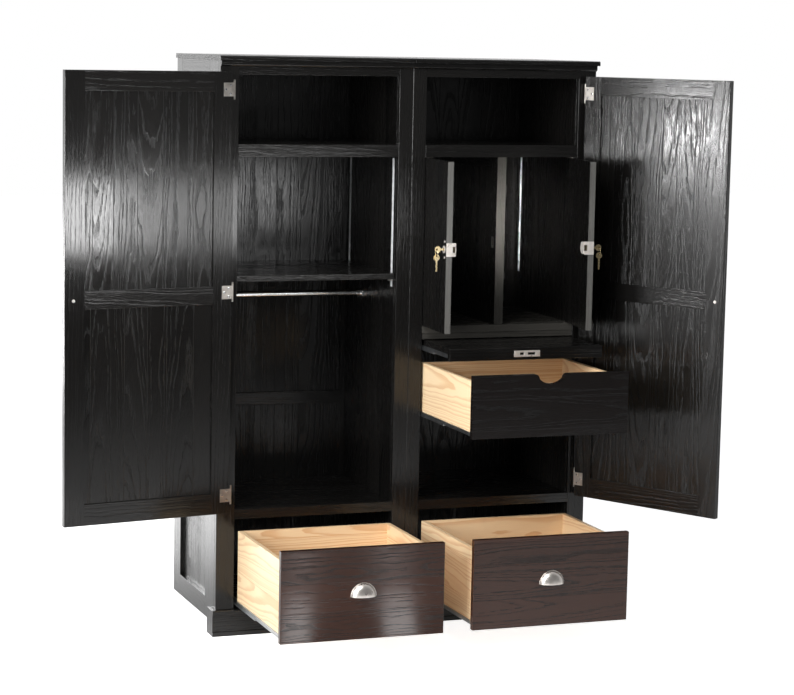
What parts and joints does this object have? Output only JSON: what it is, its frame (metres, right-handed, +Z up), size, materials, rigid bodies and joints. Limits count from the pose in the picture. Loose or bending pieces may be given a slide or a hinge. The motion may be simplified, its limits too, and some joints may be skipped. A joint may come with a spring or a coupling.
{
  "type": "wardrobe armoire",
  "caption": "Black two-bay wardrobe armoire with hinged panel doors, hanging rod, small locking locker doors, pull-out tray and drawers with cup pulls.",
  "frame": {"origin": "on the floor at the middle of the case's footprint, 255 mm behind the front of the face frame", "axes": "+X to the right as seen from the front, +Y from the front to the back, +Z up"},
  "size_m": [2.0323, 1.019, 1.829],
  "materials": {
    "black_oak": "black-stained open-grain oak under gloss lacquer",
    "pine": "clear-lacquered pale pine",
    "nickel": "satin nickel plate",
    "zinc_steel": "bright zinc plate",
    "brass": "polished brass"
  },
  "bodies": {
    "cabinet": {"side_frames": "black_oak", "side_panels": "black_oak", "inner_walls": "black_oak", "partitions": "black_oak", "face_frame": "black_oak", "top_boards": "black_oak", "crown_mouldings": "black_oak", "plinths": "black_oak", "centre_runner": "black_oak", "levelling_feet": "zinc_steel", "cabinet_bottoms": "black_oak", "bay_floors": "black_oak", "upper_shelves": "black_oak", "adjustable_shelf": "black_oak", "shelf_clips": "nickel", "shelf_standards": "nickel", "back_panels": "black_oak", "back_strips": "black_oak", "wardrobe_rod": "nickel", "locker_floor": "black_oak", "locker_divider": "black_oak", "locker_strikes": "nickel", "locker_pivots": "nickel", "frame_hinge_leaves": "nickel", "fixed_slides": "zinc_steel"},
    "left_door": {"left_door_frame": "black_oak", "left_door_panels": "black_oak", "left_door_knob": "nickel", "left_door_hinge_leaves": "nickel"},
    "right_door": {"right_door_frame": "black_oak", "right_door_panels": "black_oak", "right_door_knob": "nickel", "right_door_hinge_leaves": "nickel"},
    "left_drawer": {"left_drawer_front": "black_oak", "left_drawer_box": "pine", "left_drawer_pull": "nickel", "left_drawer_slides": "zinc_steel"},
    "left_drawer_mid_slides": {"left_drawer_mid_slides": "zinc_steel"},
    "right_drawer": {"right_drawer_front": "black_oak", "right_drawer_box": "pine", "right_drawer_pull": "nickel", "right_drawer_slides": "zinc_steel"},
    "right_drawer_mid_slides": {"right_drawer_mid_slides": "zinc_steel"},
    "inner_drawer": {"inner_drawer_front": "black_oak", "inner_drawer_box": "pine", "inner_drawer_slides": "zinc_steel"},
    "inner_drawer_mid_slides": {"inner_drawer_mid_slides": "zinc_steel"},
    "tray": {"tray_boards": "black_oak", "tray_lock_plate": "nickel", "tray_slides": "zinc_steel"},
    "tray_mid_slides": {"tray_mid_slides": "zinc_steel"},
    "locker_left_door": {"locker_left_panel": "black_oak", "locker_left_lock": "nickel"},
    "locker_left_key": {"locker_left_key": "brass"},
    "locker_left_bolt": {"locker_left_bolt": "brass"},
    "locker_right_door": {"locker_right_panel": "black_oak", "locker_right_lock": "nickel"},
    "locker_right_key": {"locker_right_key": "brass"},
    "locker_right_bolt": {"locker_right_bolt": "brass"}
  },
  "joints": [
    {"name": "left_door_hinge", "type": "hinge", "parent": "cabinet", "child": "left_door", "pos_m": [-0.5935, -0.2665, 1.098], "axis": [0, 0, -1], "range_deg": [-170.8, 4.2]},
    {"name": "right_door_hinge", "type": "hinge", "parent": "cabinet", "child": "right_door", "pos_m": [0.5935, -0.2665, 1.098], "axis": [0, 0, 1], "range_deg": [-22.2, 55.8]},
    {"name": "left_drawer_slide", "type": "slide", "parent": "cabinet", "child": "left_drawer", "axis": [0, -1, 0], "range_m": [-0.484, 0]},
    {"name": "left_drawer_slide_half", "type": "slide", "parent": "cabinet", "child": "left_drawer_mid_slides", "axis": [0, -1, 0], "range_m": [-0.242, 0]},
    {"name": "right_drawer_slide", "type": "slide", "parent": "cabinet", "child": "right_drawer", "axis": [0, -1, 0], "range_m": [-0.48, 0.004]},
    {"name": "right_drawer_slide_half", "type": "slide", "parent": "cabinet", "child": "right_drawer_mid_slides", "axis": [0, -1, 0], "range_m": [-0.24, 0.002]},
    {"name": "inner_drawer_slide", "type": "slide", "parent": "cabinet", "child": "inner_drawer", "axis": [0, -1, 0], "range_m": [-0.442, 0]},
    {"name": "inner_drawer_slide_half", "type": "slide", "parent": "cabinet", "child": "inner_drawer_mid_slides", "axis": [0, -1, 0], "range_m": [-0.221, 0]},
    {"name": "tray_slide", "type": "slide", "parent": "cabinet", "child": "tray", "axis": [0, -1, 0], "range_m": [-0.242, 0.2]},
    {"name": "tray_slide_half", "type": "slide", "parent": "cabinet", "child": "tray_mid_slides", "axis": [0, -1, 0], "range_m": [-0.121, 0.1]},
    {"name": "locker_left_hinge", "type": "hinge", "parent": "cabinet", "child": "locker_left_door", "pos_m": [0.0575, -0.2445, 1.245], "axis": [0, 0, -1], "range_deg": [-93, 2]},
    {"name": "locker_left_key_turn", "type": "hinge", "parent": "locker_left_door", "child": "locker_left_key", "pos_m": [0.03679, -0.45821, 1.24], "axis": [0.9986, -0.0523, 0], "range_deg": [0, 90]},
    {"name": "locker_left_bolt_slide", "type": "slide", "parent": "locker_left_door", "child": "locker_left_bolt", "axis": [-0.0523, -0.9986, 0], "range_m": [0, 0.012]},
    {"name": "locker_right_hinge", "type": "hinge", "parent": "cabinet", "child": "locker_right_door", "pos_m": [0.5635, -0.2445, 1.245], "axis": [0, 0, 1], "range_deg": [-82, 8]},
    {"name": "locker_right_key_turn", "type": "hinge", "parent": "locker_right_door", "child": "locker_right_key", "pos_m": [0.54305, -0.45824, 1.24], "axis": [0.9903, -0.1392, 0], "range_deg": [0, 90]},
    {"name": "locker_right_bolt_slide", "type": "slide", "parent": "locker_right_door", "child": "locker_right_bolt", "axis": [-0.1392, -0.9903, 0], "range_m": [0, 0.012]}
  ],
  "couplings": [
    {"joint": "left_drawer_slide_half", "follows": "left_drawer_slide", "ratio": 0.5},
    {"joint": "right_drawer_slide_half", "follows": "right_drawer_slide", "ratio": 0.5},
    {"joint": "inner_drawer_slide_half", "follows": "inner_drawer_slide", "ratio": 0.5},
    {"joint": "tray_slide_half", "follows": "tray_slide", "ratio": 0.5},
    {"joint": "locker_left_bolt_slide", "follows": "locker_left_key_turn", "m_per_rad": 0.0076394},
    {"joint": "locker_right_bolt_slide", "follows": "locker_right_key_turn", "m_per_rad": 0.0076394}
  ]
}
